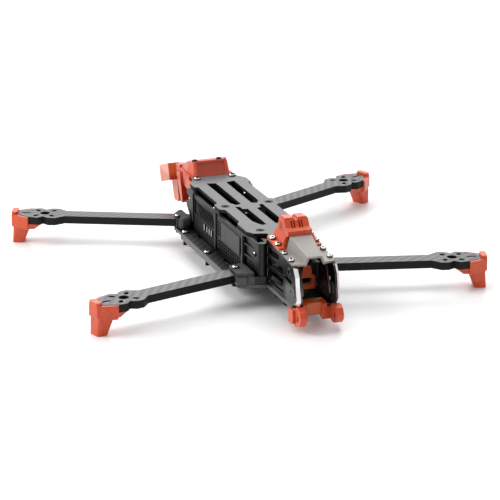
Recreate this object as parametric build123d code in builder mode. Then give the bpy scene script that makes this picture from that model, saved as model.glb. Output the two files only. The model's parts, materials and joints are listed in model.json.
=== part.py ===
from build123d import *
from math import cos, radians, sin, tan
import os

os.makedirs("parts", exist_ok=True)

# A long-range FPV quadcopter frame. +X is the nose, +Y the left side, +Z up, and z = 0 is the ground
# under the four feet. Sizes are millimetres. Lengths below are laid out from the middle of the four
# motor axes; every piece is then moved back by MID_LENGTH, so that x = 0 is halfway along the frame.
NOSE_TIP = 163.9
TAIL_TIP = -126.4
MID_LENGTH = (NOSE_TIP + TAIL_TIP) / 2

# Arms and motor seats
FRONT_MOTOR = (104.0, 127.6)
REAR_MOTOR = (-104.0, 126.4)
FRONT_SWEEP = 15.0
REAR_SWEEP = 25.0
ARM_T = 6.0
ARM_HALF = 6.75
ARM_ROOT_Y = 8.0
MOTOR_BORE_R = 3.75
MOTOR_SLOT_RING = 8.75
MOTOR_SLOT_TRAVEL = 1.5
TIP_U = 21.0

# Plate stack, from the lowest face up
PLATE_T = 2.5
BASE_TOP = 17.0
BASE_LOW = BASE_TOP - PLATE_T
LOWER_LOW = BASE_LOW - PLATE_T
ARM_TOP = BASE_TOP + ARM_T
BRACE_T = 2.0
TOP_LOW = 48.0
TOP_TOP = TOP_LOW + PLATE_T
FLANGE_HALF = 36.5

# Moulded side panels
PANEL_IN = 22.0
PANEL_OUT = 24.5
PANEL_RIM = 45.6
PANEL_OVER_ARM = ARM_TOP + 0.4

# Camera cage and its sloping deck
CAGE_IN = 13.0
CAGE_OUT = 16.5
CAGE_REAR = 84.0
DECK_TILT = 6.0
DECK_X = 125.0
DECK_Z = 48.6
HOOD_T = 1.5
WING_T = 2.5

# Tilting camera bracket and its printed cushion
PIVOT_X = 143.5
PIVOT_Z = 27.0
BRACKET_IN = 9.8
BRACKET_OUT = 10.8
BRACKET_REAR = 129.2
CUSHION_REAR = 130.2
CUSHION_FRONT = 134.0
LOCK_RADIUS = 9.0
LOCK_SLOT_START = -15.0
LOCK_SLOT_SWEEP = 53.0
RUNNING_GAP = 0.05

# Fasteners
M3_R = 1.5
M3_HOLE = 1.6
M25_R = 1.25
M25_HOLE = 1.35
M2_R = 1.0
M2_HOLE = 1.1
HEAD_R = 2.8
HEAD_H = 1.8
SMALL_HEAD_R = 2.3
SMALL_HEAD_H = 1.8
NUT_R = 3.1
NUT_H = 2.4
STANDOFF_R = 2.5
STACK_X = -20.0
STACK_SPAN = 30.5
VIDEO_X = 38.0
VIDEO_SPAN = 20.0

# Places that several pieces share
MID_POST = (10.6, 17.5)
REAR_POST = (-62.5, 14.4)
INNER_BOLT_Y = 13.0
FLANGE_SCREW_X = (-37.0, 14.5)
FLANGE_SCREW_Y = 33.4
CAGE_SCREW_X = (94.4, 114.3, 132.0)
CAGE_MID = (CAGE_IN + CAGE_OUT) / 2
BUMPER_SCREW_X = 144.5
GPS_SCREW = (-81.0, 10.0)
HOOD_SCREW_S = (2.4, 15.6)
WING_SCREW_S = (-22.3, -11.2)
PANEL_SCREW = (89.0, 38.2)


def sweep_axis(motor, sweep, forward):
    """Plane on the base plate with its origin under a left motor and its local x running outward."""
    lean = radians(sweep) * forward
    return Plane(origin=(motor[0], motor[1], BASE_TOP), x_dir=(sin(lean), cos(lean), 0), z_dir=(0, 0, 1))


FRONT_ARM = sweep_axis(FRONT_MOTOR, FRONT_SWEEP, 1)
REAR_ARM = sweep_axis(REAR_MOTOR, REAR_SWEEP, -1)
DECK = Plane(
    origin=(DECK_X, 0, DECK_Z),
    x_dir=(cos(radians(DECK_TILT)), 0, -sin(radians(DECK_TILT))),
    z_dir=(sin(radians(DECK_TILT)), 0, cos(radians(DECK_TILT))),
)


def along_arm(motor, sweep, y):
    """Local x on an arm's plane where its axis crosses the given distance from the centre line."""
    return -(motor[1] - y) / cos(radians(sweep))


def arm_point(plane, u, v=0.0):
    """Ground-plan place of a point given along and across an arm."""
    spot = plane.from_local_coords((u, v, 0))
    return spot.X, spot.Y


FRONT_INNER_U = along_arm(FRONT_MOTOR, FRONT_SWEEP, INNER_BOLT_Y)
REAR_INNER_U = along_arm(REAR_MOTOR, REAR_SWEEP, INNER_BOLT_Y)
FRONT_OUTER_Y = 34.2
REAR_CLAMP_Y = 31.0
FRONT_OUTER_U = along_arm(FRONT_MOTOR, FRONT_SWEEP, FRONT_OUTER_Y)
REAR_CLAMP_UV = (along_arm(REAR_MOTOR, REAR_SWEEP, REAR_CLAMP_Y), -ARM_HALF - 2.5)
FRONT_POST = arm_point(FRONT_ARM, FRONT_INNER_U)
REAR_BOLT = arm_point(REAR_ARM, REAR_INNER_U)
FRONT_OUTER_BOLT = arm_point(FRONT_ARM, FRONT_OUTER_U)
REAR_CLAMP_BOLT = arm_point(REAR_ARM, *REAR_CLAMP_UV)


def both_sides(*spots):
    """Each spot, then the same spot on the other side of the centre line."""
    return [(x, side * y) for x, y in spots for side in (1, -1)]


def square_of(x, span):
    """Corners of a square hole pattern centred on the centre line."""
    return [(x + i * span / 2, j * span / 2) for i in (-1, 1) for j in (-1, 1)]


def level(z):
    return Plane.XY.offset(z)


def upright(y):
    """Plane facing left at a distance y from the centre line: local x is forward, local y is up."""
    return Plane(origin=(0, y, 0), x_dir=(1, 0, 0), z_dir=(0, -1, 0))


def across(x, z=0.0):
    """Plane facing the nose at a distance x: local x is to the left, local y is up."""
    return Plane(origin=(x, 0, z), x_dir=(0, 1, 0), z_dir=(1, 0, 0))


def corners_of(low_x, low_y, high_x, high_y):
    """Outline of a rectangle from two opposite corners."""
    return [(low_x, low_y), (high_x, low_y), (high_x, high_y), (low_x, high_y)]


def prism(points, plane, height, mode=Mode.ADD, corner=0.0, both=False):
    """Extrude a closed outline given in its plane's own axes, with its corners rounded if asked."""
    with BuildSketch(plane) as outline:
        with BuildLine():
            Polyline(*points, close=True)
        make_face()
        if corner:
            fillet(outline.vertices(), corner)
    extrude(outline.sketch, amount=height, mode=mode, both=both)


def mirrored(points):
    """A half outline with y above zero, closed by its mirror image."""
    return list(points) + [(x, -y) for x, y in reversed(points)]


def round_holes(spots, radius, plane, height):
    """Straight holes along a plane's normal."""
    with BuildSketch(plane) as rounds:
        with Locations(*spots):
            Circle(radius)
    extrude(rounds.sketch, amount=height, mode=Mode.SUBTRACT)


def slot_cut(x, y, length, width, plane, height, angle=0.0):
    """A straight slot with round ends, cut along a plane's normal."""
    with BuildSketch(plane) as slot:
        with Locations((x, y)):
            SlotOverall(length, width, rotation=angle)
    extrude(slot.sketch, amount=height, mode=Mode.SUBTRACT)


def fasteners(spots, plane, head_r, head_h, shank_r, length):
    """Socket-head screws whose shanks run back from the plane, one solid for each spot."""
    rim = head_h * 0.6
    with BuildSketch(plane) as shanks:
        with Locations(*spots):
            Circle(shank_r)
    extrude(shanks.sketch, amount=-length)
    with BuildSketch(plane) as heads:
        with Locations(*spots):
            Circle(head_r)
    extrude(heads.sketch, amount=rim)
    with BuildSketch(plane.offset(rim)) as crowns:
        with Locations(*spots):
            Circle(head_r)
    extrude(crowns.sketch, amount=head_h - rim, taper=40)
    with BuildSketch(plane.offset(head_h * 0.3)) as sockets:
        with Locations(*spots):
            RegularPolygon(head_r * 0.56, 6)
    extrude(sockets.sketch, amount=head_h, mode=Mode.SUBTRACT)


def export_piece(piece, label):
    placed = piece.part.moved(Location((-MID_LENGTH, 0, 0)))
    placed.label = label
    export_step(placed, f"parts/{label}.step")


# Arms: a straight carbon bar, a lobed motor seat and a tapered tip


def arm(plane, root_u, bolts):
    half = [
        (TIP_U, 4.6),
        (11.5, 11.0),
        (4.2, 12.2),
        (0.2, 8.8),
        (-4.0, 12.2),
        (-9.5, 12.2),
        (-16.5, ARM_HALF),
        (root_u, ARM_HALF),
    ]
    with BuildSketch(plane) as outline:
        with BuildLine():
            Polyline(*mirrored(half), close=True)
        make_face()
        lobes = [v for v in outline.vertices() if plane.to_local_coords(v.center()).X > -12]
        fillet(lobes, 1.8)
    extrude(outline.sketch, amount=ARM_T)
    with BuildSketch(plane) as seat:
        Circle(MOTOR_BORE_R)
        with PolarLocations(MOTOR_SLOT_RING, 4, start_angle=45):
            SlotCenterToCenter(MOTOR_SLOT_TRAVEL, 2 * M3_HOLE)
        with Locations((14.7, 0)):
            SlotOverall(7.3, 2.0)
        with Locations(*bolts):
            Circle(M3_HOLE)
    extrude(seat.sketch, amount=ARM_T, mode=Mode.SUBTRACT)


front_root = along_arm(FRONT_MOTOR, FRONT_SWEEP, ARM_ROOT_Y)
rear_root = along_arm(REAR_MOTOR, REAR_SWEEP, ARM_ROOT_Y)

with BuildPart() as arm_front_left:
    arm(FRONT_ARM, front_root, [(FRONT_INNER_U, 0), (FRONT_OUTER_U, 0)])
export_piece(arm_front_left, "arm_front_left")

with BuildPart() as arm_front_right:
    mirror(arm_front_left.part, about=Plane.XZ)
export_piece(arm_front_right, "arm_front_right")

with BuildPart() as arm_rear_left:
    arm(REAR_ARM, rear_root, [(REAR_INNER_U, 0)])
export_piece(arm_rear_left, "arm_rear_left")

with BuildPart() as arm_rear_right:
    mirror(arm_rear_left.part, about=Plane.XZ)
export_piece(arm_rear_right, "arm_rear_right")


# Feet: a printed cap over the arm tip, a tongue under the motor seat and a tapered leg

FOOT_LIP = 2.0
FOOT_FLOOR = 5.0


def foot(plane):
    cap_low = plane.offset(-FOOT_FLOOR + 1.5)
    seat = [(TIP_U + 0.05, 4.65), (11.5, 11.05), (10.9, 11.4)]
    shell = [(25.8, 5.6), (22.5, 7.2), (11.6, 13.0)]
    prism(mirrored(shell), cap_low, FOOT_FLOOR - 1.5 + ARM_T - 0.3, corner=0.8)
    prism(mirrored(seat + [(5.0, 11.4)]), plane, ARM_T, mode=Mode.SUBTRACT)
    prism(corners_of(TIP_U + 0.3, -5.6, 25.8, 5.6), plane, ARM_T + FOOT_LIP, corner=1.6)
    with BuildSketch(plane.offset(-0.05)) as tongue_top:
        with BuildLine():
            Polyline(*mirrored([(12.5, 11.6), (1.5, 9.6), (-0.6, 5.0)]), close=True)
        make_face()
    with BuildSketch(plane.offset(-FOOT_FLOOR)) as tongue_low:
        with BuildLine():
            Polyline(*mirrored([(12.5, 8.6), (7.5, 7.6), (7.0, 4.0)]), close=True)
        make_face()
    loft([tongue_top.sketch, tongue_low.sketch])
    body = [(24.6, 5.4), (22.0, 7.0), (12.0, 11.4)]
    prism(mirrored(body), plane.offset(-FOOT_FLOOR), FOOT_FLOOR - 0.05)
    with BuildSketch(plane.offset(-BASE_TOP)) as sole:
        with Locations((21.2, 0)):
            RectangleRounded(8.8, 11.4, 2.2)
    with BuildSketch(plane.offset(-FOOT_FLOOR)) as ankle:
        with Locations((18.2, 0)):
            RectangleRounded(12.8, 14.0, 2.6)
    loft([sole.sketch, ankle.sketch])
    with BuildSketch(plane.offset(-BASE_TOP)) as reliefs:
        Circle(MOTOR_BORE_R + 1.0)
        slot_reach = MOTOR_SLOT_RING * cos(radians(45))
        with Locations((slot_reach, slot_reach), (slot_reach, -slot_reach)):
            Circle(M3_HOLE + 0.2)
    extrude(reliefs.sketch, amount=BASE_TOP - 0.01, mode=Mode.SUBTRACT)


with BuildPart() as foot_front_left:
    foot(FRONT_ARM)
export_piece(foot_front_left, "foot_front_left")

with BuildPart() as foot_front_right:
    mirror(foot_front_left.part, about=Plane.XZ)
export_piece(foot_front_right, "foot_front_right")

with BuildPart() as foot_rear_left:
    foot(REAR_ARM)
export_piece(foot_rear_left, "foot_rear_left")

with BuildPart() as foot_rear_right:
    mirror(foot_rear_left.part, about=Plane.XZ)
export_piece(foot_rear_right, "foot_rear_right")


# Carbon plates

NOSE_X = 150.0
NOSE_NOTCH_X = 138.5
NOSE_NOTCH_Y = 9.3
TAIL_X = -74.0
SINK_R = 3.3
SINK_DEPTH = 1.7
FLANGE_SLOTS = ((-10.0, 34.0), (42.5, 20.0))
FLANGE_SLOT_Y = 26.2
FLANGE_SLOT_W = 3.0
FLANGE_NOTCH_X = (11.0, 58.5)
FLANGE_NOTCH_Y = 27.6
FLANGE_NOTCH = 2.8

base_bolts = both_sides(FRONT_POST, MID_POST, REAR_POST, REAR_BOLT, FRONT_OUTER_BOLT, REAR_CLAMP_BOLT)
flange_bolts = both_sides(*[(x, FLANGE_SCREW_Y) for x in FLANGE_SCREW_X])
stack_bolts = square_of(STACK_X, STACK_SPAN)
video_bolts = square_of(VIDEO_X, VIDEO_SPAN)
cage_bolts = both_sides(*[(x, CAGE_MID) for x in CAGE_SCREW_X], (BUMPER_SCREW_X, CAGE_MID))


def flange_slots(plane):
    for x, length in FLANGE_SLOTS:
        for side in (1, -1):
            slot_cut(x, side * FLANGE_SLOT_Y, length, FLANGE_SLOT_W, plane, PLATE_T)
    with BuildSketch(plane) as tie_holes:
        with Locations(*both_sides(*[(x, FLANGE_NOTCH_Y) for x in FLANGE_NOTCH_X])):
            Rectangle(FLANGE_NOTCH, FLANGE_NOTCH)
    extrude(tie_holes.sketch, amount=PLATE_T, mode=Mode.SUBTRACT)


with BuildPart() as base_plate:
    base_half = [
        (NOSE_X, CAGE_OUT),
        (98.5, CAGE_OUT),
        (92.4, FLANGE_HALF),
        (-54.0, FLANGE_HALF),
        (-60.5, 33.5),
        (-70.0, 23.0),
        (TAIL_X, 15.5),
    ]
    prism(mirrored(base_half), level(BASE_LOW), PLATE_T, corner=1.0)
    notch = [(NOSE_NOTCH_X, NOSE_NOTCH_Y), (NOSE_X + 1, NOSE_NOTCH_Y)]
    prism(mirrored(notch), level(BASE_LOW), PLATE_T, mode=Mode.SUBTRACT)
    flange_slots(level(BASE_LOW))
    round_holes(base_bolts + flange_bolts + stack_bolts + video_bolts, M3_HOLE, level(BASE_LOW), PLATE_T)
    round_holes(cage_bolts, M25_HOLE, level(BASE_LOW), PLATE_T)
export_piece(base_plate, "base_plate")

with BuildPart() as lower_plate:
    lower_half = [
        (91.4, 14.0),
        (88.6, 24.2),
        (73.0, 29.5),
        (66.0, FLANGE_HALF),
        (-38.5, FLANGE_HALF),
        (-46.0, 27.0),
        (-67.0, 18.5),
    ]
    prism(mirrored(lower_half), level(LOWER_LOW), PLATE_T, corner=1.0)
    flange_slots(level(LOWER_LOW))
    lower_bolts = both_sides(FRONT_POST, MID_POST, REAR_POST, REAR_BOLT)
    round_holes(lower_bolts + flange_bolts + stack_bolts + video_bolts, M3_HOLE, level(LOWER_LOW), PLATE_T)
export_piece(lower_plate, "lower_plate")

with BuildPart() as top_plate:
    top_half = [
        (100.0, 10.4),
        (82.0, 11.0),
        (79.4, 20.2),
        (73.0, 23.6),
        (54.0, 23.6),
        (49.0, 20.4),
        (19.5, 20.4),
        (15.5, 24.2),
        (4.5, 24.2),
        (1.0, 20.4),
        (-42.0, 20.4),
        (-44.0, 23.2),
        (-54.5, 23.2),
        (-62.0, 18.6),
        (-71.0, 17.0),
    ]
    prism(mirrored(top_half), level(TOP_LOW), PLATE_T, corner=0.8)
    rear_slot = [(-49.8, 11.4), (-47.6, 4.2), (8.6, 4.2), (10.2, 8.4), (4.0, 11.4)]
    front_slot = [(14.0, 11.0), (15.4, 7.5), (21.0, 7.4), (22.2, 3.6), (61.4, 3.6), (62.4, 7.4), (52.0, 11.0)]
    for side in (1, -1):
        for opening in (rear_slot, front_slot):
            outline = [(x, side * y) for x, y in opening]
            prism(outline, level(TOP_LOW), PLATE_T, mode=Mode.SUBTRACT, corner=0.7)
    with BuildSketch(level(TOP_LOW)) as top_holes:
        with Locations(*both_sides(FRONT_POST, MID_POST, REAR_POST)):
            Circle(M3_HOLE)
    extrude(top_holes.sketch, amount=PLATE_T, mode=Mode.SUBTRACT)
    with BuildSketch(level(TOP_TOP)) as sinks:
        with Locations(*both_sides(FRONT_POST, MID_POST)):
            Circle(SINK_R)
    extrude(sinks.sketch, amount=-SINK_DEPTH, taper=45, mode=Mode.SUBTRACT)
export_piece(top_plate, "top_plate")

BRACE_HALF_Y = 19.0
for place, low_x, high_x, bolt in (("front", 64.0, 84.0, FRONT_POST), ("rear", -60.0, -42.0, REAR_BOLT)):
    with BuildPart() as brace:
        brace_half = [(high_x, BRACE_HALF_Y - 3), (high_x - 3, BRACE_HALF_Y)]
        brace_half += [(low_x + 3, BRACE_HALF_Y), (low_x, BRACE_HALF_Y - 3)]
        prism(mirrored(brace_half), level(ARM_TOP), BRACE_T)
        with BuildSketch(level(ARM_TOP)) as brace_window:
            with Locations(((low_x + high_x) / 2, 0)):
                RectangleRounded(9.0, 14.0, 2.0)
        extrude(brace_window.sketch, amount=BRACE_T, mode=Mode.SUBTRACT)
        round_holes(both_sides(bolt), M3_HOLE, level(ARM_TOP), BRACE_T)
    export_piece(brace, f"arm_brace_{place}")


# Bulkhead that closes the rear of the electronics bay

BULKHEAD_X = (-57.3, -55.8)
BULKHEAD_HALF = PANEL_IN - 0.1

with BuildPart() as rear_bulkhead:
    bulkhead_foot = corners_of(BULKHEAD_X[0], -BULKHEAD_HALF, BULKHEAD_X[1], BULKHEAD_HALF)
    prism(bulkhead_foot, level(ARM_TOP + BRACE_T), TOP_LOW - ARM_TOP - BRACE_T)
    wire_notch = corners_of(-4.5, ARM_TOP, 4.5, ARM_TOP + BRACE_T + 3.5)
    prism(wire_notch, across(BULKHEAD_X[0]), BULKHEAD_X[1] - BULKHEAD_X[0], mode=Mode.SUBTRACT, corner=1.0)
export_piece(rear_bulkhead, "rear_bulkhead")


# Clamps over the arm roots, outside the side panels

CLAMP_IN_Y = PANEL_OUT + 0.5
CAP_T = 3.0
SEAT_GAP = 0.05

with BuildPart() as clamp_block_front_left:
    in_u, out_u = (along_arm(FRONT_MOTOR, FRONT_SWEEP, y) for y in (18.8, 40.0))
    arm_edge = [arm_point(FRONT_ARM, u, -ARM_HALF - SEAT_GAP) for u in (in_u, out_u)]
    prism(
        [*arm_edge, (92.8, 38.0), (95.2, 31.4), (94.0, 31.0), (97.6, 17.2)],
        level(BASE_TOP),
        ARM_T,
    )
export_piece(clamp_block_front_left, "clamp_block_front_left")

with BuildPart() as clamp_block_front_right:
    mirror(clamp_block_front_left.part, about=Plane.XZ)
export_piece(clamp_block_front_right, "clamp_block_front_right")

with BuildPart() as clamp_cap_front_left:
    back_out = arm_point(FRONT_ARM, along_arm(FRONT_MOTOR, FRONT_SWEEP, 35.5), ARM_HALF)
    back_in = arm_point(FRONT_ARM, along_arm(FRONT_MOTOR, FRONT_SWEEP, 26.5), ARM_HALF)
    prism(
        [(91.6, 37.4), (94.6, 31.4), (94.6, CLAMP_IN_Y), (back_in[0], CLAMP_IN_Y), back_out, (82.0, 37.6)],
        level(ARM_TOP),
        CAP_T,
        corner=1.0,
    )
    round_holes([FRONT_OUTER_BOLT], M3_HOLE, level(ARM_TOP), CAP_T)
    chamfer(clamp_cap_front_left.faces().sort_by(Axis.Z)[-1].edges().filter_by(GeomType.LINE), 0.4)
export_piece(clamp_cap_front_left, "clamp_cap_front_left")

with BuildPart() as clamp_cap_front_right:
    mirror(clamp_cap_front_left.part, about=Plane.XZ)
export_piece(clamp_cap_front_right, "clamp_cap_front_right")

with BuildPart() as clamp_rear_left:
    clamp_outline = [
        (-44.6, CLAMP_IN_Y),
        (-43.4, 32.6),
        (-45.0, 34.2),
        (-54.3, 35.2),
        (-62.0, 34.0),
        (-68.0, 28.6),
        (-66.4, CLAMP_IN_Y),
    ]
    prism(clamp_outline, level(BASE_TOP), ARM_T + CAP_T, corner=1.6)
    in_u, out_u = (along_arm(REAR_MOTOR, REAR_SWEEP, y) for y in (14.0, 44.0))
    trough = corners_of(in_u, -ARM_HALF - SEAT_GAP, out_u, ARM_HALF + SEAT_GAP)
    prism(trough, REAR_ARM, ARM_T, mode=Mode.SUBTRACT)
    round_holes([REAR_CLAMP_BOLT], M25_HOLE, level(BASE_TOP), ARM_T + CAP_T)
    chamfer(clamp_rear_left.faces().sort_by(Axis.Z)[-1].outer_wire().edges(), 1.2)
export_piece(clamp_rear_left, "clamp_rear_left")

with BuildPart() as clamp_rear_right:
    mirror(clamp_rear_left.part, about=Plane.XZ)
export_piece(clamp_rear_right, "clamp_rear_right")


# Moulded side panels

LOUVRE_COUNT = 8
LOUVRE_PITCH = 4.6
LOUVRE_START = -32.0
LOUVRE_Z = 36.4
LOUVRE_LEAN = -52.0
LOUVRE_LENGTH = 12.0
LOUVRE_WIDTH = 2.9
SET_BACK = 0.9
FIN_X = (-14.7, -8.6, -3.4, 1.4)
FIN_Z = (24.8, 29.4)
FIN_HALF = 0.7
MESH_PITCH = (4.0, 2.3)
MESH_HOLE = (2.9, 1.5)
LOW_MESH = (38.6, 22.4, 12, 4)
POST_MESH = (16.6, 35.4, 2, 5)
VENT = (65.3, 36.4)
VENT_SIZE = (14.0, 3.8)
COVER_X = (22.2, 62.8)
COVER_Z = (28.0, 43.2)
COVER_PROUD = 0.9
RIB_X = (-42.6, 9.8, 68.6)
RIB_HALF = 0.8
RIB_PROUD = 1.1
BAY_X = (70.4, 91.8)
BAYS = ((24.6, 32.2), (33.4, 40.6), (41.8, 46.8))
BAY_DEPTH = 1.7
SLAT_X = (77.0, 86.0)
SLAT_Z = (25.4, 27.2, 29.0)
SLAT_T = 0.7
SCREW_BOSS_R = 2.6
CORNER_POST = (94.6, 19.0)
CORNER_POST_R = 2.3
NOSE_TAPER = (72.0, 22.3)

with BuildPart() as side_panel_left:
    wall = upright(PANEL_OUT)
    thickness = PANEL_OUT - PANEL_IN
    silhouette = [
        (CORNER_POST[0], TOP_LOW),
        (54.5, TOP_LOW),
        (52.5, PANEL_RIM),
        (17.0, PANEL_RIM),
        (15.0, TOP_LOW),
        (5.0, TOP_LOW),
        (3.0, PANEL_RIM),
        (-42.0, PANEL_RIM),
        (-44.0, TOP_LOW),
        (-50.5, TOP_LOW),
        (-59.2, 44.8),
        (-57.4, 41.8),
        (-51.0, 39.4),
        (-60.4, 34.8),
        (-58.6, 31.4),
        (-48.5, PANEL_OVER_ARM),
        (-46.3, PANEL_OVER_ARM),
        (-46.3, BASE_TOP),
        (67.3, BASE_TOP),
        (67.3, PANEL_OVER_ARM),
        (CORNER_POST[0], PANEL_OVER_ARM),
    ]
    prism(silhouette, wall, thickness)
    # The electronics bay's wall is set back inside a frame, and slanted louvres run through it
    prism(corners_of(-40.0, 31.0, 6.0, 43.0), wall, SET_BACK, mode=Mode.SUBTRACT, corner=1.2)
    for i in range(LOUVRE_COUNT):
        louvre_x = LOUVRE_START + i * LOUVRE_PITCH
        slot_cut(louvre_x, LOUVRE_Z, LOUVRE_LENGTH, LOUVRE_WIDTH, wall, thickness, angle=LOUVRE_LEAN)
    # Fine mesh beside the mid post and along the foot of the video bay
    for mesh_x, mesh_z, columns, rows in (LOW_MESH, POST_MESH):
        with BuildSketch(wall) as mesh:
            with Locations((mesh_x, mesh_z)):
                with GridLocations(*MESH_PITCH, columns, rows):
                    Rectangle(*MESH_HOLE)
        extrude(mesh.sketch, amount=thickness, mode=Mode.SUBTRACT)
    slot_cut(*VENT, *VENT_SIZE, wall, thickness, angle=90)
    # Raised smooth cover over the video transmitter bay
    prism(corners_of(COVER_X[0], COVER_Z[0], COVER_X[1], COVER_Z[1]), wall, -COVER_PROUD, corner=1.6)
    chamfer(side_panel_left.faces().sort_by(Axis.Y)[-1].edges(), 0.6)
    # Short raised fins below the louvres
    for fin_x in FIN_X:
        prism(corners_of(fin_x - FIN_HALF, FIN_Z[0], fin_x + FIN_HALF, FIN_Z[1]), wall, -RIB_PROUD)
    # Vertical ribs that divide the panel
    for rib_x, rib_low in zip(RIB_X, (PANEL_OVER_ARM, BASE_TOP, PANEL_OVER_ARM)):
        prism(corners_of(rib_x - RIB_HALF, rib_low, rib_x + RIB_HALF, PANEL_RIM), wall, -RIB_PROUD)
    # Recessed bays in the nose end leave level ribs standing, with short slats low down
    for bay_low, bay_high in BAYS:
        bay = corners_of(BAY_X[0], bay_low, BAY_X[1], bay_high)
        prism(bay, wall, BAY_DEPTH, mode=Mode.SUBTRACT, corner=0.5)
    for slat_z in SLAT_Z:
        slat = corners_of(SLAT_X[0], slat_z, SLAT_X[1], slat_z + SLAT_T)
        prism(slat, upright(PANEL_OUT - BAY_DEPTH), -1.0)
    # The nose end draws in towards a round corner post
    taper = [
        (NOSE_TAPER[0], PANEL_OUT + 0.01),
        (100.0, PANEL_OUT + 2),
        (100.0, NOSE_TAPER[1] - 0.5),
        (95.0, NOSE_TAPER[1]),
    ]
    prism(taper, level(PANEL_OVER_ARM), TOP_LOW - PANEL_OVER_ARM, mode=Mode.SUBTRACT)
    with BuildSketch(level(PANEL_OVER_ARM)) as post:
        with Locations(CORNER_POST):
            Circle(CORNER_POST_R)
    extrude(post.sketch, amount=TOP_LOW - PANEL_OVER_ARM)
    returned = [(92.8, PANEL_IN + 0.2), (95.6, PANEL_IN), (96.0, CAGE_OUT + 0.1), (92.8, CAGE_OUT + 0.1)]
    prism(returned, level(PANEL_OVER_ARM), TOP_LOW - PANEL_OVER_ARM)
    # Boss that carries the panel screw into the cage
    with BuildSketch(upright(PANEL_OUT - BAY_DEPTH)) as boss:
        with Locations(PANEL_SCREW):
            Circle(SCREW_BOSS_R)
    extrude(boss.sketch, amount=PANEL_OUT - BAY_DEPTH - CAGE_OUT - 0.1)
    round_holes([PANEL_SCREW], M2_HOLE, upright(PANEL_OUT + 2), PANEL_OUT + 2 - CAGE_OUT)
export_piece(side_panel_left, "side_panel_left")

with BuildPart() as side_panel_right:
    mirror(side_panel_left.part, about=Plane.XZ)
export_piece(side_panel_right, "side_panel_right")


# Camera cage: two alloy side plates with chamfered edges


def deck_z(x):
    """Height of the cage's sloping top edge."""
    return DECK_Z - (x - DECK_X) * tan(radians(DECK_TILT))


NOSE_BEVEL = 2.3
TOP_HOLE = (140.8, 40.4)
TOP_BOSS_R = 3.3
TOP_BOSS_H = 0.6
THREAD_DEPTH = 3.2
DECK_THREAD_DEPTH = 4.4

with BuildPart() as cage_plate_left:
    cage_wall = upright(CAGE_OUT)
    cage_t = CAGE_OUT - CAGE_IN
    cage_outline = [
        (CAGE_REAR, BASE_TOP),
        (151.4, BASE_TOP),
        (155.2, 18.6),
        (158.7, 23.4),
        (156.4, 33.4),
        (155.2, 40.6),
        (151.8, deck_z(151.8)),
        (96.5, deck_z(96.5)),
        (94.5, TOP_LOW),
        (CAGE_REAR, TOP_LOW),
    ]
    prism(cage_outline, cage_wall, cage_t)
    outer_face = cage_plate_left.faces().filter_by(Axis.Y).sort_by(Axis.Y)[-1]
    nose_edges = [e for e in outer_face.edges() if e.center().X > 152 and e.center().Z > BASE_TOP + 0.1]
    chamfer(nose_edges, NOSE_BEVEL)
    windows = [
        [(98.0, 40.9), (119.1, 42.2), (122.0, 44.2), (121.0, 46.6), (98.0, 46.6)],
        [(98.0, 32.4), (125.2, 33.8), (131.0, 35.6), (126.0, 40.0), (98.0, 38.8)],
        [(98.0, 23.8), (125.9, 24.9), (129.8, 27.6), (129.0, 31.6), (98.0, 30.2)],
        [(102.0, 20.6), (129.0, 20.8), (131.4, 22.6), (102.0, 22.2)],
        [(131.2, 33.3), (144.4, 31.9), (146.2, 33.0), (146.2, 35.0), (134.0, 36.2)],
    ]
    for window in windows:
        prism(window, cage_wall, cage_t, mode=Mode.SUBTRACT, corner=0.6)
    # Round boss with a hole, above the pivot
    with BuildSketch(cage_wall) as boss:
        with Locations(TOP_HOLE):
            Circle(TOP_BOSS_R)
    extrude(boss.sketch, amount=-TOP_BOSS_H)
    round_holes([TOP_HOLE], M3_HOLE, upright(CAGE_OUT + TOP_BOSS_H), cage_t + TOP_BOSS_H)
    round_holes([(PIVOT_X, PIVOT_Z)], M25_R + RUNNING_GAP, cage_wall, cage_t)
    round_holes([PANEL_SCREW], M2_HOLE, cage_wall, cage_t)
    with BuildSketch(cage_wall) as tilt_slot:
        with BuildLine() as tilt_path:
            CenterArc((PIVOT_X, PIVOT_Z), LOCK_RADIUS, LOCK_SLOT_START, LOCK_SLOT_SWEEP)
        SlotArc(tilt_path.edges()[0], 2 * M2_R)
    extrude(tilt_slot.sketch, amount=cage_t, mode=Mode.SUBTRACT)
    foot_spots = [(x, CAGE_MID) for x in CAGE_SCREW_X + (BUMPER_SCREW_X,)]
    round_holes(foot_spots, M25_HOLE, level(BASE_TOP), THREAD_DEPTH)
    deck_spots = [(s, CAGE_MID) for s in WING_SCREW_S + HOOD_SCREW_S]
    round_holes(deck_spots, M25_HOLE, DECK, -DECK_THREAD_DEPTH)
export_piece(cage_plate_left, "cage_plate_left")

with BuildPart() as cage_plate_right:
    mirror(cage_plate_left.part, about=Plane.XZ)
export_piece(cage_plate_right, "cage_plate_right")


# Hood: bent alloy sheet with a sloping roof, bevelled cheeks and screw flanges

HOOD_REAR_X = 121.0
HOOD_FRONT_X = 148.8
FLANGE_FRONT_S = 22.6


def hood_section(x, half_low, half_top, z_low, z_top):
    with BuildSketch(across(x)) as section:
        with BuildLine():
            Polyline((half_low, z_low), (half_top, z_top), (-half_top, z_top), (-half_low, z_low), close=True)
        make_face()
    return section.sketch


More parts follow.
